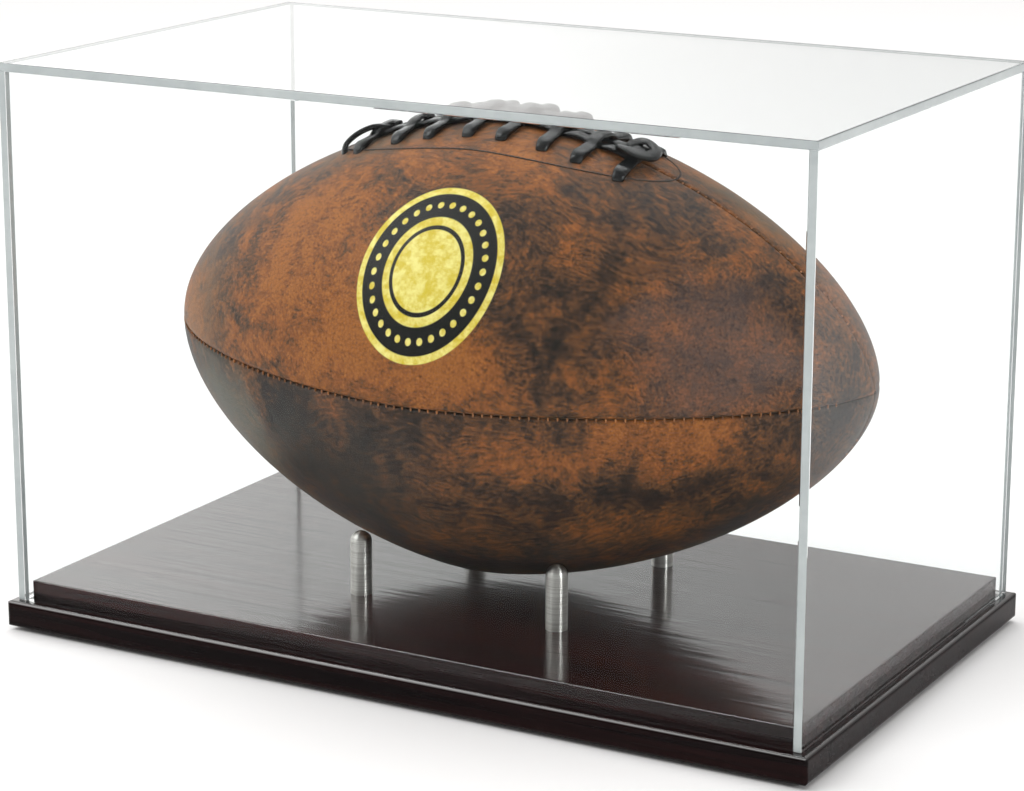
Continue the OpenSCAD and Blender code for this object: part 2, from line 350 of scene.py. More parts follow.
def grain_bands(tree: Tree, place: Socket) -> Socket:
    """Make broad soft bands along X, as the figure of wood.

    Args:
        tree: Where the nodes go.
        place: The coordinates.

    Returns:
        The bands, from 0 to 1.
    """
    wide = tree.vector("MULTIPLY", place, (5.0, 190.0, 190.0))
    figure = tree.noise(wide, 1.0, detail=3.0, roughness=0.5, distortion=0.4)
    return tree.ramp(figure, 0.30, 0.70)


class Effect(Enum):
    """The shared effects, each a node group."""

    PEBBLE = "pebble_grain"
    MOTTLE = "mottle"
    MARBLING = "marbling"
    STRAIGHT_GRAIN = "straight_grain"
    HANDLING = "handling_marks"


class Effects:
    """Builds each shared effect once, as a node group that puts out masks and heights."""

    def __init__(self) -> None:
        """Build all the groups."""
        makers = {
            Effect.PEBBLE: self._pebble, Effect.MOTTLE: self._mottle,
            Effect.MARBLING: self._marbling, Effect.STRAIGHT_GRAIN: self._straight_grain,
            Effect.HANDLING: self._handling}
        self.made = {effect: maker(effect.value) for effect, maker in makers.items()}

    def __getitem__(self, effect: Effect) -> bpy.types.NodeTree:
        """Give the node group of an effect."""
        return self.made[effect]

    @staticmethod
    def _start(name: str, numbers: dict[str, float], outputs: Sequence[str]) -> tuple[
            Tree, bpy.types.NodeOutputs, bpy.types.NodeInputs]:
        """Open a group that takes a vector and some numbers, and gives numbers.

        Args:
            name: The group's name.
            numbers: Default of each number that it takes, by name.
            outputs: Name of each number that it gives.

        Returns:
            The tree, the sockets that it is given and the sockets that it fills.
        """
        group = bpy.data.node_groups.new(name, "ShaderNodeTree")
        group.interface.new_socket("Vector", in_out="INPUT", socket_type="NodeSocketVector")
        for label, default in numbers.items():
            socket = group.interface.new_socket(
                label, in_out="INPUT", socket_type="NodeSocketFloat")
            socket.default_value = default
        for label in outputs:
            group.interface.new_socket(label, in_out="OUTPUT", socket_type="NodeSocketFloat")
        tree = Tree(group)
        return tree, tree.node("NodeGroupInput").outputs, tree.node("NodeGroupOutput").inputs

    def _pebble(self, name: str) -> bpy.types.NodeTree:
        """Make rounded pebbles with creases between them, as on embossed leather.

        Args:
            name: The group's name.

        Returns:
            The group.
        """
        tree, given, out = self._start(name, {"Scale": 620.0}, ["Height", "Crease"])
        stirred = tree.place(tree.offset(given["Vector"], 260.0), scale=(0.0012,) * 3)
        wavy = tree.vector("ADD", given["Vector"], stirred)
        near = tree.cells(wavy, given["Scale"], "SMOOTH_F1", 0.9)
        edge = tree.cells(wavy, given["Scale"], "DISTANCE_TO_EDGE", 0.9)
        crease = tree.fade(edge, 0.0, 0.16)
        dome = tree.minus(1.0, near)
        tree.feed(out["Height"], tree.minus(dome, tree.times(crease, 0.45)))
        tree.feed(out["Crease"], crease)
        return tree.tree

    def _mottle(self, name: str) -> bpy.types.NodeTree:
        """Make cloudy patches at three sizes, for rubbed and stained surfaces.

        Args:
            name: The group's name.

        Returns:
            The group.
        """
        tree, given, out = self._start(name, {"Broad": 0.5, "Fine": 0.5}, ["Patches", "Specks"])
        place = given["Vector"]
        broad = tree.noise(place, 26.0, detail=5.0, roughness=0.62, distortion=0.6)
        broad = tree.ramp(broad, 0.36, 0.64)
        middle = tree.noise(tree.place(place, (3.1, 1.7, 0.4)), 95.0, detail=5.0,
                            roughness=0.68, distortion=0.3)
        middle = tree.ramp(middle, 0.36, 0.66)
        small = tree.noise(tree.place(place, (0.7, 5.2, 2.6)), 420.0, detail=4.0, roughness=0.7)
        small = tree.ramp(small, 0.40, 0.66)
        patches = tree.math(
            "ADD", tree.times(broad, given["Broad"]),
            tree.times(middle, tree.minus(1.0, given["Broad"])), clamp=True)
        tree.feed(out["Patches"], patches)
        tree.feed(out["Specks"], tree.times(small, given["Fine"]))
        return tree.tree

    def _marbling(self, name: str) -> bpy.types.NodeTree:
        """Make clouds, curved strokes, grit and specks, as on waxed and rubbed hide.

        Args:
            name: The group's name.

        Returns:
            The group.
        """
        tree, given, out = self._start(name, {}, ["Clouds", "Strokes", "Grit", "Specks"])
        place = given["Vector"]
        wide = tree.noise(place, 34.0, detail=10.0, roughness=0.68, distortion=0.35)
        close = tree.noise(tree.place(place, (1.3, 0.2, 2.4)), 150.0, detail=6.0,
                           roughness=0.72, distortion=0.2)
        clouds = tree.plus(tree.times(wide, 0.62), tree.times(close, 0.38))
        bent = tree.vector("ADD", place, tree.scale(tree.offset(place, 24.0), 0.030))
        drawn = tree.place(bent, rotation=(0.4, 0.0, 0.7), scale=(150.0, 760.0, 760.0))
        fibres = tree.noise(drawn, 1.0, detail=4.0, roughness=0.62)
        grit = tree.noise(tree.place(place, (0.6, 3.3, 1.9)), 520.0, detail=4.0, roughness=0.8)
        for label, value, gain in (("Clouds", clouds, 2.6), ("Strokes", fibres, 2.0),
                                   ("Grit", grit, 2.0)):
            tree.feed(out[label], tree.times(tree.minus(value, 0.5), gain))
        specks = tree.noise(place, 1050.0, detail=3.0, roughness=0.75)
        tree.feed(out["Specks"], tree.ramp(specks, 0.48, 0.66))
        return tree.tree

    def _straight_grain(self, name: str) -> bpy.types.NodeTree:
        """Make fine lines along X, as pores under a lacquer or threads in a cloth.

        Args:
            name: The group's name.

        Returns:
            The group.
        """
        tree, given, out = self._start(name, {"Density": 1.0}, ["Lines", "Bands"])
        along = tree.vector("MULTIPLY", given["Vector"], (14.0, 900.0, 900.0))
        lines = tree.noise(tree.scale(along, given["Density"]), 1.0, detail=4.0,
                           roughness=0.6, distortion=0.15)
        tree.feed(out["Lines"], tree.ramp(lines, 0.38, 0.66))
        tree.feed(out["Bands"], grain_bands(tree, given["Vector"]))
        return tree.tree

    def _handling(self, name: str) -> bpy.types.NodeTree:
        """Make faint smudges and hairline scratches, which only blur a reflection.

        Args:
            name: The group's name.

        Returns:
            The group.
        """
        tree, given, out = self._start(name, {"Amount": 1.0}, ["Smudge", "Scratch"])
        smudge = tree.noise(given["Vector"], 34.0, detail=4.0, roughness=0.6, distortion=0.8)
        turned = tree.place(given["Vector"], rotation=(0.0, 0.0, 0.5),
                            scale=(9.0, 1500.0, 1500.0))
        scratch = tree.noise(turned, 1.0, detail=1.0, roughness=0.5)
        for label, mask in (("Smudge", tree.ramp(smudge, 0.45, 0.75)),
                            ("Scratch", tree.ramp(scratch, 0.70, 0.76))):
            tree.feed(out[label], tree.times(mask, given["Amount"]))
        return tree.tree


def open_material(name: str) -> tuple[
        bpy.types.Material, Tree, bpy.types.NodeInputs, bpy.types.Node]:
    """Start a material with one Principled shader.

    Args:
        name: The material's name.

    Returns:
        The material, its tree, the shader's inputs and the output node.
    """
    material = bpy.data.materials.new(name)
    material.use_nodes = True
    material.node_tree.nodes.clear()
    tree = Tree(material.node_tree)
    shader = tree.node("ShaderNodeBsdfPrincipled")
    output = tree.node("ShaderNodeOutputMaterial")
    tree.feed(output.inputs["Surface"], shader.outputs[0])
    return material, tree, shader.inputs, output


@dataclass(frozen=True)
class Lacquer:
    """Dark stained wood under a clear lacquer, with its grain along X.

    Level faces were flatted and polished, so they mirror more than the sides do.
    """

    name: str
    deep: str = "080203"
    warm: str = "1f0b0b"
    pore: str = "050202"
    gloss: float = 0.09
    under_gloss: float = 0.10
    side_coat: float = 0.02
    coat_index: float = 1.9
    specular: float = 0.06
    pore_depth: float = 0.00002
    ripple: float = 0.00004

    def build(self, effects: Effects) -> bpy.types.Material:
        """Build the material.

        Args:
            effects: The shared effects.

        Returns:
            The material.
        """
        material, tree, shader, _ = open_material(self.name)
        place = tree.object_coordinates()
        grain = tree.group(effects[Effect.STRAIGHT_GRAIN], Vector=place, Density=1.0)
        marks = tree.group(effects[Effect.HANDLING], Vector=place, Amount=1.0)
        tone = tree.mix(grain["Bands"], srgb(self.deep), srgb(self.warm))
        tone = tree.mix(tree.times(grain["Lines"], 0.5), tone, srgb(self.pore))
        rough = tree.plus(self.gloss + self.under_gloss, tree.times(grain["Lines"], 0.08))
        tree.feed(shader["Base Color"], tone)
        tree.feed(shader["Roughness"], tree.plus(rough, tree.times(marks["Smudge"], 0.04)))
        up = tree.axes(tree.node("ShaderNodeTexCoord").outputs["Normal"])[2]
        tree.feed(shader["Coat Weight"], tree.ramp(up, 0.3, 0.95, self.side_coat, 1.0))
        shader["Specular IOR Level"].default_value = self.specular
        shader["Coat Roughness"].default_value = self.gloss
        shader["Coat IOR"].default_value = self.coat_index
        tree.feed(shader["Normal"], tree.bump(grain["Lines"], self.pore_depth, 0.5))
        flow = tree.bump(grain_bands(tree, place), self.ripple, 0.7)
        tree.feed(shader["Coat Normal"], flow)
        return material


@dataclass(frozen=True)
class Steel:
    """Turned or plated metal, with fine marks round its axis.

    The marks spread a highlight along the axis, so a lamp shows as an upright streak.
    """

    name: str
    tint: str = "d8d7d2"
    shade: str = "bdbbb6"
    rough: float = 0.32
    marks: float = 0.04
    brushed: float = 0.9
    quarter_turn: float = 0.25

    def build(self, effects: Effects) -> bpy.types.Material:
        """Build the material.

        Args:
            effects: The shared effects.

        Returns:
            The material.
        """
        material, tree, shader, _ = open_material(self.name)
        place = tree.object_coordinates()
        turned = tree.vector("MULTIPLY", place, (30.0, 30.0, 2600.0))
        rings = tree.noise(turned, 1.0, detail=2.0, roughness=0.5)
        marks = tree.group(effects[Effect.HANDLING], Vector=place, Amount=self.marks)
        tone = tree.mix(tree.ramp(rings, 0.35, 0.7), srgb(self.tint), srgb(self.shade))
        uneven = tree.plus(tree.times(rings, 0.05), marks["Smudge"])
        tree.feed(shader["Base Color"], tone)
        tree.feed(shader["Roughness"], tree.plus(self.rough, uneven))
        shader["Metallic"].default_value = 1.0
        shader["Anisotropic"].default_value = self.brushed
        shader["Anisotropic Rotation"].default_value = self.quarter_turn
        return material


@dataclass(frozen=True)
class Rubber:
    """Soft matt rubber with a dusty bloom."""

    name: str
    dark: str = "141414"
    bloom: str = "2e2d2b"
    rough: float = 0.7
    pits: float = 0.00005

    def build(self, effects: Effects) -> bpy.types.Material:
        """Build the material.

        Args:
            effects: The shared effects.

        Returns:
            The material.
        """
        material, tree, shader, _ = open_material(self.name)
        cloud = tree.group(
            effects[Effect.MOTTLE], Vector=tree.object_coordinates(), Broad=0.3, Fine=0.8)
        tone = tree.mix(cloud["Patches"], srgb(self.dark), srgb(self.bloom))
        tree.feed(shader["Base Color"], tone)
        tree.feed(shader["Roughness"], tree.plus(self.rough, tree.times(cloud["Specks"], 0.15)))
        tree.feed(shader["Normal"], tree.bump(cloud["Specks"], self.pits, 0.5))
        return material


@dataclass(frozen=True)
class Cloth:
    """A plain woven lining."""

    name: str
    thread: str = "b3a78c"
    gap: str = "6f664f"
    rough: float = 0.9
    density: float = 1.4
    relief: float = 0.0001

    def build(self, effects: Effects) -> bpy.types.Material:
        """Build the material.

        Args:
            effects: The shared effects.

        Returns:
            The material.
        """
        material, tree, shader, _ = open_material(self.name)
        warp = tree.object_coordinates()
        weft = tree.place(warp, rotation=(0.0, 0.0, math.pi / 2))
        lines = [
            tree.group(effects[Effect.STRAIGHT_GRAIN], Vector=way, Density=self.density)["Lines"]
            for way in (warp, weft)]
        both = tree.times(*lines)
        tree.feed(shader["Base Color"], tree.mix(both, srgb(self.thread), srgb(self.gap)))
        shader["Roughness"].default_value = self.rough
        tree.feed(shader["Normal"], tree.bump(both, self.relief, 0.6))
        return material


@dataclass(frozen=True)
class ClearSheet:
    """Clear cast sheet. Lamps and soft light pass it straight, and a view through it bends."""

    name: str
    tint: str = "fbfdfd"
    index: float = 1.13
    scratch: float = 0.02

    def build(self, effects: Effects) -> bpy.types.Material:
        """Build the material.

        Args:
            effects: The shared effects.

        Returns:
            The material.
        """
        material, tree, shader, output = open_material(self.name)
        glass = output.inputs["Surface"].links[0].from_socket
        marks = tree.group(effects[Effect.HANDLING], Vector=tree.object_coordinates(), Amount=1.0)
        shader["Base Color"].default_value = srgb(self.tint)
        shader["Transmission Weight"].default_value = 1.0
        shader["IOR"].default_value = self.index
        tree.feed(shader["Roughness"], tree.times(marks["Scratch"], self.scratch))
        path = tree.node("ShaderNodeLightPath").outputs
        straight = tree.math("MAXIMUM", path["Is Shadow Ray"], path["Is Diffuse Ray"])
        mixer = tree.node("ShaderNodeMixShader")
        tree.feed(mixer.inputs[0], straight)
        tree.feed(mixer.inputs[1], glass)
        tree.feed(mixer.inputs[2], tree.node("ShaderNodeBsdfTransparent").outputs[0])
        tree.feed(output.inputs["Surface"], mixer.outputs[0])
        return material


@dataclass(frozen=True)
class SheetEdgeGlow:
    """The flame-polished edge of a clear sheet, which gathers light and looks pale; that pale
    look is painted glow in its colour.
    """

    name: str
    # Pale and cool tones of the painted edge glow.
    pale_glow: str = "bcc4c4"
    cool_glow: str = "a0a8aa"
    rough: float = 0.18
    coat: float = 0.6
    coat_rough: float = 0.05

    def build(self, effects: Effects) -> bpy.types.Material:
        """Build the material.

        Args:
            effects: The shared effects.

        Returns:
            The material.
        """
        material, tree, shader, _ = open_material(self.name)
        cloud = tree.group(
            effects[Effect.MOTTLE], Vector=tree.object_coordinates(), Broad=0.6, Fine=0.5)
        share = tree.times(cloud["Patches"], 0.6)
        # The base colour is painted glow of the polished edge, mottled a little.
        tree.feed(shader["Base Color"], tree.mix(share, srgb(self.pale_glow), srgb(self.cool_glow)))
        tree.feed(shader["Roughness"], tree.plus(self.rough, tree.times(cloud["Specks"], 0.1)))
        shader["Coat Weight"].default_value = self.coat
        shader["Coat Roughness"].default_value = self.coat_rough
        return material


@dataclass(frozen=True)
class Spot:
    """A soft-edged place on the ball.

    along is its place from the ball's middle, round is how far it lies from the laced seam
    towards the front in degrees, and reach is its rough radius. Lengths are in millimetres.
    """

    along: float
    round: float
    reach: float
    stretch: float = 1.0


@dataclass(frozen=True)
class Wear:
    """A place where the dark wax is rubbed through (amount over 0) or lies thick (under 0)."""

    spot: Spot
    amount: float


@dataclass(frozen=True)
class StainOrSheen:
    """A place with a colour of its own, or a patch of painted sheen in the leather's colour."""

    spot: Spot
    colour: str
    strength: float


@dataclass(frozen=True)
class Badge:
    """A plain oval foil print: a gold rim, a dark ring with gold beads, and a gold middle.

    Sizes are in millimetres. The rings' radii are shares of the whole badge's.
    """

    along: float = 5.0
    round: float = 56.5
    half_width: float = 27.0
    half_height: float = 34.0
    lean: float = 8.0
    dark_ring: tuple[float, float] = (0.60, 0.90)
    fine_ring: tuple[float, float] = (0.45, 0.50)
    beads: int = 30
    bead_ring: float = 0.76
    bead_size: float = 0.036
    gold: str = "d9c23c"
    gold_pale: str = "f3e98c"
    dark: str = "0b0c0a"


@dataclass(frozen=True)
class Leather:
    """Waxed, pebbled leather on the ball, marbled where the wax has rubbed through."""

    name: str
    centre: Vector
    roll: float
    outline: Callable[[float], float]
    tones: tuple[str, ...] = ("1b1612", "3e2d21", "674427", "8f5628", "a5662e")
    level: float = 0.5
    contrast: float = 1.3
    strokes: float = 0.60
    grit: float = 0.42
    specks: float = 0.50
    creases: float = 0.30
    wears: tuple[Wear, ...] = ()
    stains: tuple[StainOrSheen, ...] = ()
    badge: Badge | None = None
    pebble_scale: float = 760.0
    pebble: float = 0.00007
    swell: float = 0.0004
    rough: float = 0.47
    specular: float = 0.17

    def build(self, effects: Effects) -> bpy.types.Material:
        """Build the material.

        Args:
            effects: The shared effects.

        Returns:
            The material.
        """
        material, tree, shader, _ = open_material(self.name)
        centred = tree.place(tree.object_coordinates(), location=-self.centre)
        place = tree.place(centred, rotation=(-self.roll, 0.0, 0.0))
        marble = tree.group(effects[Effect.MARBLING], Vector=place)
        grain = tree.group(effects[Effect.PEBBLE], Vector=place, Scale=self.pebble_scale)
        stir = tree.noise(place, 42.0, detail=6.0, roughness=0.62, distortion=0.6)
        level = tree.plus(tree.times(marble["Clouds"], self.contrast), self.level)
        level = tree.plus(level, tree.times(marble["Strokes"], self.strokes))
        level = tree.plus(level, tree.times(marble["Grit"], self.grit))
        for wear in self.wears:
            mask = self._mask(tree, place, stir, wear.spot)
            level = tree.plus(level, tree.times(mask, wear.amount))
        colour = self._toned(tree, level)
        # Stains, and patches of painted sheen, are mixed into the colour here.
        for stain in self.stains:
            share = tree.times(self._mask(tree, place, stir, stain.spot), stain.strength)
            colour = tree.mix(share, colour, srgb(stain.colour))
        for mask, share in ((marble["Specks"], self.specks), (grain["Crease"], self.creases)):
            colour = tree.mix(tree.times(mask, share), colour, srgb(self.tones[0]))
        rough = tree.plus(self.rough, tree.times(marble["Clouds"], 0.12))
        height = grain["Height"]
        if self.badge is not None:
            colour, rough, height = self._print(tree, colour, rough, height, place, self.badge)
        tree.feed(shader["Base Color"], colour)
        tree.feed(shader["Roughness"], rough)
        shader["Specular IOR Level"].default_value = self.specular
        soft = tree.bump(marble["Clouds"], self.swell, 0.3)
        tree.feed(shader["Normal"], tree.bump(height, self.pebble, 0.7, soft))
        return material

    def _toned(self, tree: Tree, level: Socket) -> Socket:
        """Turn how far the wax has rubbed through into a colour.

        Args:
            tree: The material's tree.
            level: How far, from 0 to 1.

        Returns:
            The colour.
        """
        made = tree.node("ShaderNodeValToRGB")
        tree.feed(made.inputs["Fac"], level)
        ramp = made.color_ramp
        while len(ramp.elements) < len(self.tones):
            ramp.elements.new(0.5)
        for i, (element, tone) in enumerate(zip(ramp.elements, self.tones)):
            element.position = i / (len(self.tones) - 1)
            element.color = srgb(tone)
        return made.outputs["Color"]

    def _mask(self, tree: Tree, place: Socket, stir: Socket, spot: Spot) -> Socket:
        """Find how much a point lies in a spot, with a ragged edge.

        Args:
            tree: The material's tree.
            place: Coordinates about the ball's centre.
            stir: The noise that makes the edge ragged.
            spot: The spot.

        Returns:
            1 inside it and 0 outside.
        """
        angle, radius = math.radians(spot.round), self.outline(spot.along * MM)
        middle = (spot.along * MM, -radius * math.sin(angle), radius * math.cos(angle))
        offset = tree.vector("SUBTRACT", place, middle)
        scaled = tree.vector("MULTIPLY", offset, (1.0 / spot.stretch, 1.0, 1.0))
        away = tree.math("DIVIDE", tree.vector("LENGTH", scaled), spot.reach * MM)
        ragged = tree.plus(away, tree.times(tree.minus(stir, 0.5), 1.6))
        return tree.fade(ragged, 0.35, 1.25)

    def _print(self, tree: Tree, colour: Socket, rough: Socket, height: Socket,
               place: Socket, badge: Badge) -> tuple[Socket, Socket, Socket]:
        """Print the badge over the leather.

        Args:
            tree: The material's tree.
            colour: Leather colour so far.
            rough: Leather roughness so far.
            height: Grain height so far.
            place: Coordinates about the ball's centre.
            badge: What is printed.

        Returns:
            Colour, roughness and height with the badge on.
        """
        x, y, z = tree.axes(place)
        turn = tree.math("ARCTAN2", tree.times(y, -1.0), z)
        down = tree.times(
            tree.minus(turn, math.radians(badge.round)), self.outline(badge.along * MM))
        across = tree.minus(x, badge.along * MM)
        cos, sin = math.cos(math.radians(badge.lean)), math.sin(math.radians(badge.lean))
        wide = tree.plus(tree.times(across, cos), tree.times(down, sin))
        tall = tree.minus(tree.times(down, cos), tree.times(across, sin))
        wide = tree.math("DIVIDE", wide, badge.half_width * MM)
        tall = tree.math("DIVIDE", tall, badge.half_height * MM)
        ring = tree.math("SQRT", tree.plus(tree.times(wide, wide), tree.times(tall, tall)))
        inside = tree.fade(ring, 0.985, 1.0)
        dark_ring = self._ring(tree, ring, badge.dark_ring, 0.015)
        fine_ring = self._ring(tree, ring, badge.fine_ring, 0.012)
        step = tree.math("FRACT", tree.times(
            tree.math("ARCTAN2", wide, tall), badge.beads / (2 * math.pi)))
        aside = tree.times(tree.minus(step, 0.5), 2 * math.pi * badge.bead_ring / badge.beads)
        beyond = tree.minus(ring, badge.bead_ring)
        bead = tree.math("SQRT", tree.plus(
            tree.times(aside, aside), tree.times(beyond, beyond)))
        between = tree.ramp(bead, badge.bead_size, badge.bead_size + 0.01)
        inked = tree.math("MAXIMUM", tree.math("MINIMUM", dark_ring, between), fine_ring)
        worn = tree.noise(place, 240.0, detail=4.0, roughness=0.7)
        foil = tree.mix(tree.ramp(worn, 0.35, 0.65), srgb(badge.gold), srgb(badge.gold_pale))
        face = tree.mix(inside, colour, tree.mix(inked, foil, srgb(badge.dark)))
        sheen = tree.mix(inside, rough, tree.plus(0.30, tree.times(worn, 0.2)))
        pressed = tree.times(height, tree.ramp(ring, 0.98, 1.0, 0.35, 1.0))
        return face, sheen, tree.plus(pressed, tree.times(tree.minus(inside, inked), 0.5))

    @staticmethod
    def _ring(tree: Tree, away: Socket, radii: tuple[float, float], soft: float) -> Socket:
        """Mask one ring of the badge.

        Args:
            tree: The material's tree.
            away: Distance from the badge's middle, as a share of its radius.
            radii: The ring's inner and outer radius.
            soft: How wide its soft edges are.

        Returns:
            1 in the ring and 0 outside.
        """
        inner, outer = radii
        return tree.times(
            tree.fade(away, outer, outer + soft), tree.ramp(away, inner, inner + soft))


@dataclass(frozen=True)
class LaceStrap:
    """Glossy dark lace with a soft, slightly creased skin."""

    name: str
    dark: str = "020404"
    worn: str = "080c0e"
    rough: float = 0.2
    specular: float = 0.4
    crease: float = 0.00015

    def build(self, effects: Effects) -> bpy.types.Material:
        """Build the material.

        Args:
            effects: The shared effects.

        Returns:
            The material.
        """
        material, tree, shader, _ = open_material(self.name)
        place = tree.object_coordinates()
        cloud = tree.group(effects[Effect.MOTTLE], Vector=place, Broad=0.2, Fine=1.0)
        creases = tree.noise(place, 210.0, detail=2.0, roughness=0.5)
        share = tree.times(cloud["Patches"], 0.6)
        tree.feed(shader["Base Color"], tree.mix(share, srgb(self.dark), srgb(self.worn)))
        tree.feed(shader["Roughness"], tree.plus(self.rough, tree.times(cloud["Specks"], 0.04)))
        shader["Specular IOR Level"].default_value = self.specular
        tree.feed(shader["Normal"], tree.bump(creases, self.crease, 0.3))
        return material


@dataclass(frozen=True)
class Thread:
    """Waxed sewing thread."""

    name: str
    tone: str = "b0713a"
    shade: str = "5a3820"
    rough: float = 0.6
    fluff: float = 0.00004

    def build(self, effects: Effects) -> bpy.types.Material:
        """Build the material.

        Args:
            effects: The shared effects.

        Returns:
            The material.
        """
        material, tree, shader, _ = open_material(self.name)
        cloud = tree.group(
            effects[Effect.MOTTLE], Vector=tree.object_coordinates(), Broad=0.2, Fine=1.0)
        tone = tree.mix(cloud["Patches"], srgb(self.tone), srgb(self.shade))
        tree.feed(shader["Base Color"], tone)
        shader["Roughness"].default_value = self.rough
        tree.feed(shader["Normal"], tree.bump(cloud["Specks"], self.fluff, 0.6))
        return material


def dress(node: str, material: bpy.types.Material) -> None:
    """Give a frame node one material in place of its own.

    Args:
        node: The node's name.
        material: Its new material.
    """
    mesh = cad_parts[node].data
    mesh.materials.clear()
    mesh.materials.append(material)
    LOG.info("dressed %s in %s", node, material.name)


def finish_piece(bm: bmesh.types.BMesh, name: str, body: str,
                 materials: Sequence[bpy.types.Material], replaced: Sequence[str] = (),
                 smooth: bool = True) -> bpy.types.Object:
    """Turn a bmesh into a piece that rides on a body.

    Args:
        bm: The mesh being built, in metres in the row frame. It is freed.
        name: The piece's name.
        body: The body that it rides on.
        materials: Materials in slot order.
        replaced: Frame nodes that it stands for.
        smooth: Whether its faces are shaded smooth.

    Returns:
        The new object.
    """
    bmesh.ops.recalc_face_normals(bm, faces=bm.faces[:])
    for face in bm.faces:
        face.smooth = smooth
    mesh = bpy.data.meshes.new(name)
    bm.to_mesh(mesh)
    bm.free()
    for material in materials:
        mesh.materials.append(material)
    piece = bpy.data.objects.new(name, mesh)
    bpy.context.scene.collection.objects.link(piece)
    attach(piece, body)
    if replaced:
        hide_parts(*replaced)
    LOG.info("built %s: %d faces", name, len(mesh.polygons))
    return piece


def sweep(bm: bmesh.types.BMesh, width: float, thickness: float, frames: Sequence[Matrix],
          scales: Sequence[tuple[float, float]], sides: int = 14, square: float = 0.6,
          closed: bool = False) -> None:
    """Sweep a flattened section through a row of frames, and cap both ends or join them.

    Args:
        bm: Where the strap is added.
        width: The section's width, along each frame's X.
        thickness: The section's thickness, along each frame's Y.
        frames: Placements along the path, with Z pointing along it.
        scales: Width and thickness factors at each frame.
        sides: Corners of the section.
        square: 1 for an ellipse, and less for a squarer section.
        closed: Whether the last frame is the first one again, so that the ends join.
    """
    ring = bmesh.ops.create_circle(
        bm, cap_ends=not closed, segments=sides, radius=1.0)["verts"]
    flat = []
    for vert in ring:
        x, y = vert.co.x, vert.co.y
        flat.append(Vector((math.copysign(abs(x) ** square, x) * width / 2,
                            math.copysign(abs(y) ** square, y) * thickness / 2, 0.0)))
    last = list({edge for vert in ring for edge in vert.link_edges})
    order = list(ring)
    for step, (matrix, (wide, thick)) in enumerate(zip(frames, scales)):
        if step:
            grown = bmesh.ops.extrude_edge_only(bm, edges=last)["geom"]
            fresh = [item for item in grown if isinstance(item, bmesh.types.BMVert)]
            last = [item for item in grown if isinstance(item, bmesh.types.BMEdge)
                    and all(vert in fresh for vert in item.verts)]
            order = [next(edge.other_vert(vert) for edge in vert.link_edges
                          if edge.other_vert(vert) in fresh) for vert in order]
        for vert, spot in zip(order, flat):
            vert.co = matrix @ Vector((spot.x * wide, spot.y * thick, 0.0))
    if closed:
        bmesh.ops.remove_doubles(bm, verts=ring + order, dist=1e-7)
    else:
        bmesh.ops.holes_fill(bm, edges=last, sides=sides)


@dataclass
class BallShape:
    """The ball's outline and place, from which all its pieces take their surface."""

    half_length: float = 141.5 * MM
    radius: float = 84.5 * MM
    power: float = 1.66
    root: float = 0.59
    roll: float = math.radians(3.0)
    centre: Vector = field(default_factory=Vector)

    def outline(self, along: float, depth: float = 0.0) -> float:
        """Find the ball's radius at a place along it, or an inner ply's at a depth."""
        share = min(1.0, abs(along) / (self.half_length - depth))
        return (self.radius - depth) * (1.0 - share ** self.power) ** self.root

    def point(self, along: float, turn: float, height: float = 0.0) -> Vector:
        """Find a point on or over the skin, in the row frame.

        Args:
            along: Distance from the ball's middle.
            turn: Angle from the laced seam towards the front, in radians.
            height: Distance over the skin, square to the ball's axis.

        Returns:
            The point.
        """
        reach = self.outline(along) + height
        local = Vector((along, -reach * math.sin(turn), reach * math.cos(turn)))
        return self.centre + Matrix.Rotation(self.roll, 3, "X") @ local

    def slope(self, along: float, step: float) -> float:
        """Find how fast the radius grows at a place along the ball."""
        return (self.outline(along + step) - self.outline(along - step)) / (2 * step)

    def out(self, along: float, turn: float) -> Vector:
        """Find the direction square to the skin, in the row frame.

        Args:
            along: Distance from the ball's middle.
            turn: Angle from the laced seam towards the front, in radians.

        Returns:
            The direction.
        """
        slope = self.slope(along, 0.2 * MM)
        local = Vector((-slope, -math.sin(turn), math.cos(turn))).normalized()
        return Matrix.Rotation(self.roll, 3, "X") @ local


def placement(origin: Vector, axes: Sequence[Vector]) -> Matrix:
    """Make a placement from its origin and its X, Y and Z directions."""
    return Matrix.Translation(origin) @ Matrix(axes).transposed().to_4x4()


def strap_frame(origin: Vector, ahead: Vector, up: Vector) -> Matrix:
    """Make a placement for a strap's section.

    Args:
        origin: Where it is.
        ahead: The way that the strap goes, which becomes Z.
        up: The way that Y points, as near as may be.

    Returns:
        The placement, with X across the strap.
    """
    forward = ahead.normalized()
    across = up.cross(forward).normalized()
    return placement(origin, (across, forward.cross(across), forward))


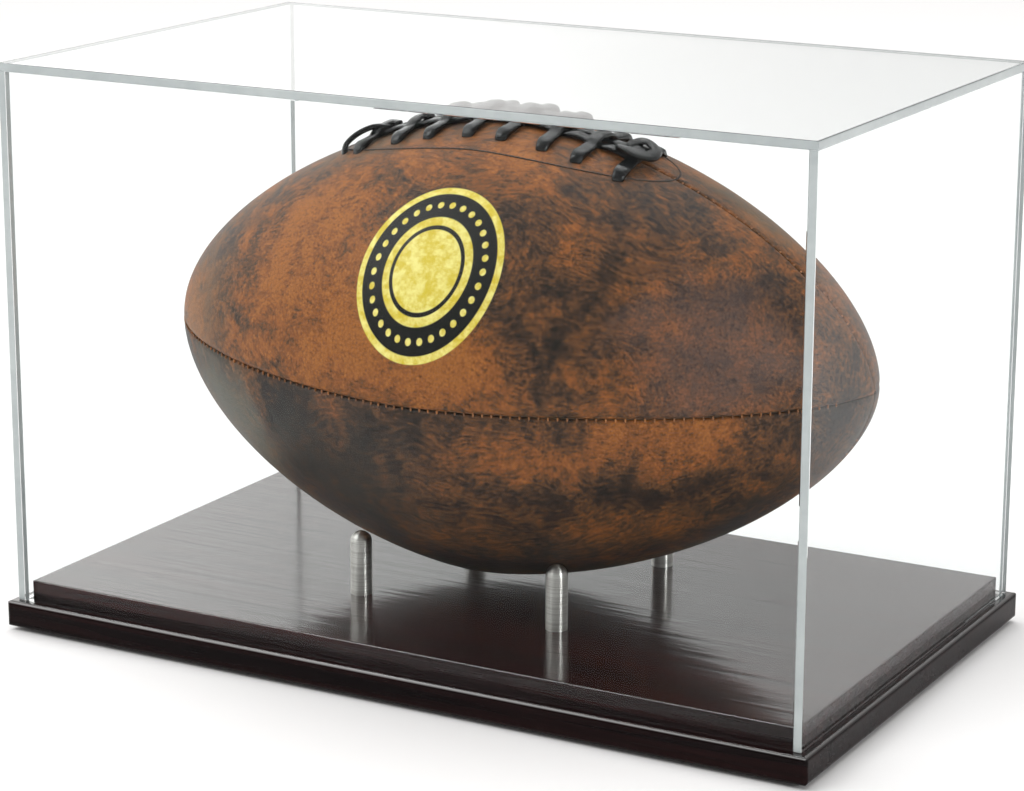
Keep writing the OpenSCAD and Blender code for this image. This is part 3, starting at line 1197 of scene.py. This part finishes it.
@dataclass
class Football:
    """The laced ball: four leather panels, its lace, seam stitches and the plies inside.

    Each stop of a loose end of the lace is its place along the ball, its distance from
    the laced seam and its lift over the skin, in millimetres. Each quarter is given the
    angle of its first seam from the laced seam, in degrees.
    """

    effects: Effects
    shape: BallShape = field(default_factory=BallShape)
    quarters: dict[str, int] = field(default_factory=lambda: {
        "upper_front": 0, "lower_front": 90, "lower_rear": 180, "upper_rear": 270})
    leather_t: float = 2.0 * MM
    seam_gap: float = 0.3 * MM
    seam_roll: float = 1.5 * MM
    columns: int = 150
    rows: int = 40
    fine_rows: float = 0.30
    fine_width: float = 3.2 * MM
    tip_hole: float = 0.8 * MM
    lace_count: int = 8
    lace_pitch: float = 15.0 * MM
    lace_reach: float = 40.0 * MM
    lace_w: float = 5.4 * MM
    lace_t: float = 2.0 * MM
    run_offset: float = 3.4 * MM
    run_wave: float = 0.35 * MM
    dive_from: float = 0.80
    dive_depth: float = 2.6 * MM
    crossing_half: float = 7.5 * MM
    loose_ends: tuple[tuple[Stop, ...], ...] = (
        ((-49, 3.0, 2.6), (-54, 5.0, 4.6), (-59, 8.5, 4.4), (-62, 12.5, 2.4),
         (-61.5, 15.5, -1.6)),
        ((-49, -3.0, 2.6), (-55, -5.5, 4.0), (-60, -9.0, 3.2), (-61.5, -12.5, 1.6),
         (-60, -15.0, -1.6)),
        ((46, 2.5, 2.0), (50, 6.5, 5.0), (55, 7.0, 5.2), (58.5, 2.5, 4.6),
         (57, -3.5, 5.0), (51.5, -5.5, 5.4), (47, -2.5, 2.2)))
    stitch_pitch: float = 3.3 * MM
    stitch_share: float = 0.965
    laced_half: float = 60.0 * MM
    facing_half_length: float = 67.0 * MM
    facing_half_width: float = 29.0 * MM
    facing_steps: int = 360
    body: str = "football"

    def __post_init__(self) -> None:
        """Take the ball's centre from the frame."""
        boxes = [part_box(f"football_panel_{name}") for name in self.quarters]
        low = Vector([min(pair[0][i] for pair in boxes) for i in range(3)])
        high = Vector([max(pair[1][i] for pair in boxes) for i in range(3)])
        self.shape.centre = (low + high) / 2

    def build(self) -> None:
        """Build and dress every piece of the ball."""
        self._dress_inside()
        upper, lower = self._leathers()
        for name, start in self.quarters.items():
            leather = upper if name.startswith("upper") else lower
            self._panel(name, math.radians(start), leather)
        self._lace()
        self._seam_stitches()
        self._facing_line()

    def _dress_inside(self) -> None:
        """Dress the linings, tongue, bladder and valve."""
        cloth = Cloth("lining_cloth").build(self.effects)
        for name in self.quarters:
            dress(f"football_lining_{name}", cloth)
        tongue = self._leather("tongue_leather", level=0.3).build(self.effects)
        dress("football_lace_backing", tongue)
        rubber = Rubber("ball_rubber").build(self.effects)
        dress("football_bladder", rubber)
        dress("football_valve", rubber)

    def _leather(self, name: str, **more: object) -> Leather:
        """Place a leather with some settings of its own on this ball."""
        return Leather(name, self.shape.centre, self.shape.roll, self.shape.outline, **more)

    def _leathers(self) -> tuple[bpy.types.Material, bpy.types.Material]:
        """Make the panels' leathers.

        Returns:
            The upper panels' leather and the lower panels'.
        """
        upper = self._leather(
            "leather_upper", level=0.50, badge=Badge(), wears=(
                Wear(Spot(-48, 62, 48), 0.34),
                Wear(Spot(2, 80, 26, 1.8), 0.34),
                Wear(Spot(4, 20, 20, 2.2), 0.30),
                Wear(Spot(46, 44, 30), -0.16),
                Wear(Spot(50, 78, 18, 1.4), -0.20),
                Wear(Spot(-46, 10, 22, 1.6), -0.18),
                Wear(Spot(92, 50, 40), -0.05),
                Wear(Spot(-108, 84, 30), 0.24),
            ), stains=(
                # Grey-purple patch at the upper right end: painted sheen.
                StainOrSheen(Spot(104, 62, 34), "6d5a54", 0.5),
                StainOrSheen(Spot(-112, 78, 28), "8a6a4a", 0.4),
                StainOrSheen(Spot(-50, 8, 18, 1.6), "5d5344", 0.5),
                # Grey-tan strip on the upper rear panel: partly that panel's own tone, partly
                # painted grazing sheen and backlight.
                StainOrSheen(Spot(92, -24, 24, 1.6), "7f6f58", 0.4),
            ))
        lower = self._leather(
            "leather_lower", level=0.26, contrast=1.1, wears=(
                Wear(Spot(24, 106, 22, 1.3), 0.20),
                Wear(Spot(48, 103, 14, 1.3), 0.30),
                Wear(Spot(92, 98, 20, 2.4), 0.58),
                Wear(Spot(86, 117, 14, 2.0), -0.10),
                Wear(Spot(80, 132, 20, 1.8), 0.20),
                Wear(Spot(-22, 94, 7, 2.5), 0.20),
                Wear(Spot(-40, 112, 34), -0.12),
            ), stains=(
                StainOrSheen(Spot(-90, 116, 34), "77776a", 0.55),
                StainOrSheen(Spot(-30, 112, 40), "413f3b", 0.45),
            ))
        return upper.build(self.effects), lower.build(self.effects)

    def _panel(self, name: str, start: float, leather: bpy.types.Material) -> None:
        """Build one leather quarter as a closed shell with rolled edges.

        Args:
            name: Which quarter, as the frame names it.
            start: Angle of its first seam from the laced seam, towards the front.
            leather: Its material.
        """
        shape = self.shape
        bm = bmesh.new()
        bmesh.ops.create_grid(bm, x_segments=self.columns, y_segments=self.rows, size=1.0)
        outer = bm.verts[:]
        twin = bmesh.ops.duplicate(bm, geom=bm.verts[:] + bm.edges[:] + bm.faces[:])["vert_map"]
        pairs = [(vert, twin[vert]) for vert in outer]
        ends = self._grid_end()
        for vert, inner in pairs:
            u, v = vert.co.x, vert.co.y
            along = ends * math.sin(u * math.pi / 2)
            reach = max(shape.outline(along), self.tip_hole)
            arc = reach * math.pi / 2 - self.seam_gap
            from_seam, distance = self._row_place((v + 1) / 2, arc)
            turn = start + (self.seam_gap / 2 + from_seam) / reach
            vert.co = shape.point(along, turn, -self._rolled(distance, arc))
            deep = along * (shape.half_length - self.leather_t) / shape.half_length
            inside = max(shape.outline(deep, self.leather_t), self.tip_hole)
            inner.co = shape.point(deep, turn, inside - shape.outline(deep))
        bmesh.ops.bridge_loops(bm, edges=[edge for edge in bm.edges if edge.is_boundary])
        finish_piece(bm, f"ball_leather_{name}", self.body, [leather],
                     [f"football_panel_{name}"])

    def _grid_end(self) -> float:
        """Find how far from the middle the panels stop, to leave the pinhole at a tip."""
        bare = (self.tip_hole / self.shape.radius) ** (1 / self.shape.root)
        return self.shape.half_length * (1.0 - bare) ** (1 / self.shape.power)

    def _row_place(self, share: float, arc: float) -> tuple[float, float]:
        """Place one row of a panel's mesh, closer together near the seams.

        Args:
            share: The row, from 0 at one seam to 1 at the other.
            arc: The panel's width there.

        Returns:
            Distance from the first seam, and distance from the nearer seam.
        """
        half = min(share, 1 - share) * 2
        fine = self.fine_width * min(1.0, arc / (14 * MM))
        if half < self.fine_rows:
            near = fine * (half / self.fine_rows) ** 1.3
        else:
            near = fine + (arc / 2 - fine) * (half - self.fine_rows) / (1 - self.fine_rows)
        return (near if share <= 0.5 else arc - near), near

    def _rolled(self, distance: float, arc: float) -> float:
        """Find how far a panel's skin turns in near a seam.

        Args:
            distance: Distance from the nearer seam.
            arc: The panel's width there.

        Returns:
            The depth under the ball's outline.
        """
        size = self.seam_roll * min(1.0, arc / (10 * MM))
        wide = size * 1.5
        if distance >= wide:
            return 0.0
        return size * (1 - math.sqrt(1 - (1 - distance / wide) ** 2)) if distance > 0 else size

    def _lace(self) -> None:
        """Build the lace: two lengthwise runs, cross straps, and loose ends."""
        bm = bmesh.new()
        half_span = self.lace_pitch * (self.lace_count - 1) / 2
        for side in (-1, 1):
            self._run(bm, side, half_span)
        for i in range(self.lace_count):
            self._cross(bm, -half_span + i * self.lace_pitch, i)
        for stops in self.loose_ends:
            self._loose(bm, stops)
        material = LaceStrap("lace_skin").build(self.effects)
        finish_piece(bm, "ball_lacing", self.body, [material], ["football_lace"])

    def _run(self, bm: bmesh.types.BMesh, side: int, half_span: float,
             steps: int = 96) -> None:
        """Sweep one lengthwise run under the cross straps.

        Args:
            bm: Where the strap is added.
            side: 1 for the front run and -1 for the rear one.
            half_span: Distance from the middle to the last cross strap.
            steps: Lengths that the strap is made of.
        """
        shape = self.shape
        reach = half_span + self.lace_w * 0.3
        frames, scales = [], []
        for i in range(steps + 1):
            along = -reach + 2 * reach * i / steps
            wave = math.cos(2 * math.pi * (along + half_span) / self.lace_pitch)
            turn = side * self.run_offset * (1 + 0.12 * wave) / shape.outline(along)
            lift = self.lace_t * 0.45 + self.run_wave * (1 - wave)
            here = shape.point(along, turn, lift)
            ahead = shape.point(along + 0.5 * MM, turn, lift) - here
            frames.append(strap_frame(here, ahead, shape.out(along, turn)))
            scales.append((0.95 - 0.10 * wave, 0.9))
        sweep(bm, self.lace_w * 0.9, self.lace_t, frames, scales)

    def _loose(self, bm: bmesh.types.BMesh, stops: Sequence[Stop], steps: int = 36) -> None:
        """Sweep a loose end of the lace on a smooth curve through its stops.

        Args:
            bm: Where the strap is added.
            stops: The places that it passes.
            steps: Lengths that the strap is made of.
        """
        shape = self.shape
        spots = [shape.point(along * MM, side * MM / shape.outline(along * MM), lift * MM)
                 for along, side, lift in stops]
        curve = [spots[0], *spots, spots[-1]]
        path = []
        for i in range(steps + 1):
            whole = min(i * (len(stops) - 1) / steps, len(stops) - 1 - 1e-6)
            k, t = int(whole), whole - int(whole)
            a, b, c, d = curve[k:k + 4]
            path.append(0.5 * ((2 * b) + (c - a) * t + (2 * a - 5 * b + 4 * c - d) * t * t
                               + (3 * b - a - 3 * c + d) * t ** 3))
        frames = []
        for i, here in enumerate(path):
            ahead = path[min(i + 1, steps)] - path[max(i - 1, 0)]
            frames.append(strap_frame(here, ahead, (here - shape.centre).normalized()))
        sweep(bm, self.lace_w * 0.8, self.lace_t, frames, [(1.0, 1.0)] * len(frames))

    def _dive(self, share: float) -> float:
        """Find how far a cross strap has dived at a share of its half, from 0 to 1."""
        return max(0.0, (abs(share) - self.dive_from) / (1 - self.dive_from))

    def _cross_lift(self, share: float) -> float:
        """Find a cross strap's lift: over the runs in its middle, and down into its holes.

        Args:
            share: The place across it, from -1 to 1.

        Returns:
            Distance over the skin.
        """
        over = 1.0 - min(1.0, abs(share) * self.lace_reach / 2 / self.crossing_half) ** 2
        rise = self.lace_t * (0.75 + 1.05 * max(0.0, over) ** 0.6)
        return rise - self.dive_depth * self._dive(share) ** 2.2

    def _cross(self, bm: bmesh.types.BMesh, along: float, index: int,
               steps: int = 30) -> None:
        """Sweep one cross strap, a little skewed and pinched where it enters its holes.

        Args:
            bm: Where the strap is added.
            along: Its place along the ball.
            index: Which strap it is, which settles its skew.
            steps: Lengths that it is made of.
        """
        shape = self.shape
        swing = self.lace_reach / 2 / shape.outline(along)
        skew = (0.9 if index % 2 else -0.6) * MM
        step = 0.02
        frames, scales = [], []
        for i in range(steps + 1):
            share = -1 + 2 * i / steps
            turn, place = share * swing, along + skew * share
            here = shape.point(place, turn, self._cross_lift(share))
            after = shape.point(
                place + skew * step, turn + step * swing, self._cross_lift(share + step))
            frames.append(strap_frame(here, after - here, shape.out(place, turn)))
            waist = 1.0 - 0.12 * math.cos(math.pi * share * 0.5) - 0.22 * self._dive(share)
            bulge = math.exp(-((abs(share) - 0.82) / 0.16) ** 2)
            scales.append((waist, 1.0 + 0.55 * bulge))
        sweep(bm, self.lace_w, self.lace_t, frames, scales)

    def _seam_stitches(self) -> None:
        """Set a short thread across each seam at every stitch, but not under the lace."""
        bm = bmesh.new()
        shape = self.shape
        end = shape.half_length * self.stitch_share
        for quarter in range(4):
            along = -end
            while along < end:
                if quarter or abs(along) >= self.laced_half:
                    self._stitch(bm, along, quarter * math.pi / 2)
                along += self.stitch_pitch / math.hypot(1.0, shape.slope(along, MM))
        material = Thread("seam_thread").build(self.effects)
        finish_piece(bm, "ball_seam_stitches", self.body, [material])

    def _stitch(self, bm: bmesh.types.BMesh, along: float, turn: float) -> None:
        """Add one stitch: a small rounded thread lying across the seam.

        Args:
            bm: Where the stitch is added.
            along: Its place along the ball.
            turn: Its seam's angle from the laced seam, in radians.
        """
        shape = self.shape
        size = min(1.0, shape.outline(along) / (18 * MM))
        here = shape.point(along, turn, -0.50 * MM * size)
        tangent = (shape.point(along + MM, turn) - shape.point(along - MM, turn)).normalized()
        up = shape.out(along, turn)
        half = Matrix.Diagonal((0.85 * MM * size, 0.40 * MM, 0.40 * MM, 1.0))
        matrix = placement(here, (up.cross(tangent), tangent, up)) @ half
        bmesh.ops.create_uvsphere(bm, u_segments=6, v_segments=5, radius=1.0, matrix=matrix)

    def _facing_line(self) -> None:
        """Sweep the sewn line that runs in an oval round the lacing."""
        shape, steps = self.shape, self.facing_steps
        bm = bmesh.new()
        spots = []
        for i in range(steps):
            angle = 2 * math.pi * i / steps
            along = self.facing_half_length * math.cos(angle)
            side = self.facing_half_width * math.sin(angle)
            dip = 0.10 * MM * math.cos(i * math.pi)
            spots.append(shape.point(along, side / shape.outline(along), 0.02 * MM + dip))
        ring = []
        for i in range(steps + 1):
            here, after = spots[i % steps], spots[(i + 1) % steps]
            ring.append(strap_frame(here, after - here, (here - shape.centre).normalized()))
        sweep(bm, 0.75 * MM, 0.55 * MM, ring, [(1.0, 1.0)] * len(ring), sides=6, square=1.0,
              closed=True)
        material = Thread("facing_thread", "2b1d14", "150e0a").build(self.effects)
        finish_piece(bm, "ball_facing_stitch", self.body, [material])


class GlowRims(Enum):
    """Which rims of a clear sheet get the painted pale edge glow, by the axis that they face."""

    LID = ("x", "y")
    SIDE_WALL = ("y", "z")
    LONG_WALL = ("x", "z")


@dataclass
class ClearCover:
    """The lift-off cover: five clear sheets with eased corners and pale edges of painted glow."""

    effects: Effects
    ease: float = 0.35 * MM
    joint_gap: float = 0.02 * MM
    lid_index: float = 1.22
    body: str = "cover"

    def build(self) -> None:
        """Build the five sheets."""
        wall = ClearSheet("clear_wall").build(self.effects)
        lid = ClearSheet("clear_lid", index=self.lid_index).build(self.effects)
        # Opaque pale rims that stand in for the glow of the sheets' edges: painted light.
        edge = SheetEdgeGlow("sheet_edge_painted_glow").build(self.effects)
        self._sheet("top", GlowRims.LID, lid, edge)
        for name in ("left", "right"):
            self._sheet(name, GlowRims.SIDE_WALL, wall, edge)
        for name in ("front", "rear"):
            self._sheet(name, GlowRims.LONG_WALL, wall, edge)

    def _sheet(self, name: str, shown: GlowRims, clear: bpy.types.Material,
               edge: bpy.types.Material) -> None:
        """Build one sheet over the frame's node. A wall's foot stays clear of the painted edge
        glow.

        Args:
            name: Which sheet.
            shown: Its rims that get the painted pale glow.
            clear: Material of its faces.
            edge: Material of its pale rims, which is painted glow.
        """
        low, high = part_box(f"cover_{name}")
        inset = Vector((self.joint_gap,) * 3)
        low, high = low + inset, high - inset
        size, middle = high - low, (high + low) / 2
        bm = bmesh.new()
        bmesh.ops.create_cube(
            bm, size=1.0, matrix=Matrix.Translation(middle) @ Matrix.Diagonal((*size, 1.0)))
        bmesh.ops.bevel(
            bm, geom=bm.edges[:], offset=self.ease, offset_type="OFFSET", affect="EDGES",
            segments=2, profile=0.5, material=-1)
        # Rims facing the shown axes take the painted edge glow; a wall's foot, facing down, does
        # not.
        for face in bm.faces:
            for axis in shown.value:
                lean = face.normal["xyz".index(axis)]
                if lean > 0.5 or (lean < -0.5 and axis != "z"):
                    face.material_index = 1
        finish_piece(bm, f"clear_{name}", self.body, [clear, edge],
                     [f"cover_{name}"], smooth=False)


@dataclass
class Base:
    """The base board, raised panel, feet, pegs and fasteners, all from the frame."""

    effects: Effects

    def build(self) -> None:
        """Dress every node of the base."""
        panel = Lacquer("panel_lacquer", deep="160708", warm="371615", gloss=0.12,
                        side_coat=0.16, ripple=0.00008)
        zinc = Steel("zinc_plate", "b9b9b4", "9d9d99", rough=0.28, marks=0.2, brushed=0.3)
        yellow = Steel("yellow_plate", "b79d5c", "9a8148", rough=0.3, marks=0.2, brushed=0.3)
        corner_places = ("front_left", "front_right", "rear_left", "rear_right")
        finishes = {
            Lacquer("board_lacquer"): ["base_board"],
            panel: ["raised_panel"],
            Rubber("foot_rubber"): [f"foot_{place}" for place in corner_places],
            Steel("peg_polish"): [f"peg_{place}" for place in corner_places],
            zinc: ["peg_screws", "peg_washers"],
            yellow: ["panel_screws"],
        }
        for finish, nodes in finishes.items():
            material = finish.build(self.effects)
            for node in nodes:
                dress(node, material)


@dataclass(frozen=True)
class Lamp:
    """A soft square lamp: where it hangs, its side in metres and its power in watts."""

    name: str
    place: tuple[float, float, float]
    size: float
    power: float


@dataclass
class Studio:
    """The camera, the pale floor and the soft light."""

    azimuth: float = 29.02
    elevation: float = 14.62
    tilt: float = 0.17
    distance: float = 1.06231
    target: Vector = field(default_factory=lambda: Vector((0.0375, -0.0673, 0.1146)))
    lens: float = 108.49
    shift: tuple[float, float] = (-0.0036, -0.0122)
    far: float = 60.0
    floor_size: float = 16.0
    floor_white: float = 0.97
    glow_colour: Colour = (1.0, 0.982, 0.968, 1.0)
    sweep: Vector = field(default_factory=lambda: Vector((-0.78, 0.50, 0.35)))
    front_glow: float = 0.36
    rear_glow: float = 1.5
    flag: Vector = field(default_factory=lambda: Vector((-0.230, 0.923, 0.309)))
    flag_dark: float = 0.5
    lamps: tuple[Lamp, ...] = (
        Lamp("key", (-1.3, -1.1, 1.9), 1.6, 26.0),
        Lamp("strip", (1.9, -0.6, 0.8), 0.5, 9.0),
        Lamp("top", (0.1, 0.9, 2.4), 2.2, 22.0))

    def build(self) -> None:
        """Set up the view, the floor and the light."""
        bpy.context.scene.view_settings.view_transform = "Standard"
        self._camera()
        self._floor()
        self._world()
        for lamp in self.lamps:
            self._hang(lamp)

    def _camera(self) -> None:
        """Place the camera."""
        az, el = math.radians(self.azimuth), math.radians(self.elevation)
        back = Vector((math.sin(az) * math.cos(el), -math.cos(az) * math.cos(el), math.sin(el)))
        right = Vector((math.cos(az), math.sin(az), 0.0))
        turn = Matrix.Rotation(math.radians(self.tilt), 4, "Z")
        data = bpy.data.cameras.new("camera")
        data.lens = self.lens
        data.shift_x, data.shift_y = self.shift
        data.clip_end = self.far
        camera = bpy.data.objects.new("camera", data)
        stand = self.target + back * self.distance
        camera.matrix_world = placement(stand, (right, back.cross(right), back)) @ turn
        bpy.context.scene.collection.objects.link(camera)
        bpy.context.scene.camera = camera

    def _floor(self) -> None:
        """Lay the pale floor."""
        bm = bmesh.new()
        bmesh.ops.create_grid(bm, x_segments=1, y_segments=1, size=self.floor_size / 2)
        mesh = bpy.data.meshes.new("floor")
        bm.to_mesh(mesh)
        bm.free()
        material, _, shader, _ = open_material("floor_white")
        shader["Base Color"].default_value = (*(self.floor_white,) * 3, 1.0)
        shader["Roughness"].default_value = 0.9
        mesh.materials.append(material)
        floor = bpy.data.objects.new("floor", mesh)
        bpy.context.scene.collection.objects.link(floor)

    def _world(self) -> None:
        """Light the scene from a white sweep behind, dimmer in front and where a flag hangs."""
        world = bpy.data.worlds.new("tent")
        bpy.context.scene.world = world
        world.use_nodes = True
        tree = Tree(world.node_tree)
        background = world.node_tree.nodes["Background"]
        way = tree.node("ShaderNodeTexCoord").outputs["Generated"]
        ahead = tree.vector("DOT_PRODUCT", way, self.sweep.normalized())
        glow = tree.ramp(ahead, 0.1, 1.0, self.front_glow, self.rear_glow)
        near_flag = tree.vector("DOT_PRODUCT", way, self.flag.normalized())
        flagged = tree.ramp(near_flag, 0.91, 0.998, 1.0, 1.0 - self.flag_dark)
        tree.feed(background.inputs["Strength"], tree.times(glow, flagged))
        background.inputs["Color"].default_value = self.glow_colour

    def _hang(self, lamp: Lamp) -> None:
        """Hang one lamp so that it points at the case.

        Args:
            lamp: The lamp.
        """
        data = bpy.data.lights.new(lamp.name, "AREA")
        data.size = lamp.size
        data.energy = lamp.power
        place = Vector(lamp.place)
        hung = bpy.data.objects.new(lamp.name, data)
        hung.location = place
        hung.rotation_euler = (self.target - place).to_track_quat("-Z", "Y").to_euler()
        bpy.context.scene.collection.objects.link(hung)


def main() -> None:
    """Build the case, piece by piece."""
    logging.basicConfig(level=logging.INFO, format="%(name)s: %(message)s")
    effects = Effects()
    Studio().build()
    Base(effects).build()
    ClearCover(effects).build()
    Football(effects).build()


if __name__ == "__main__":
    main()
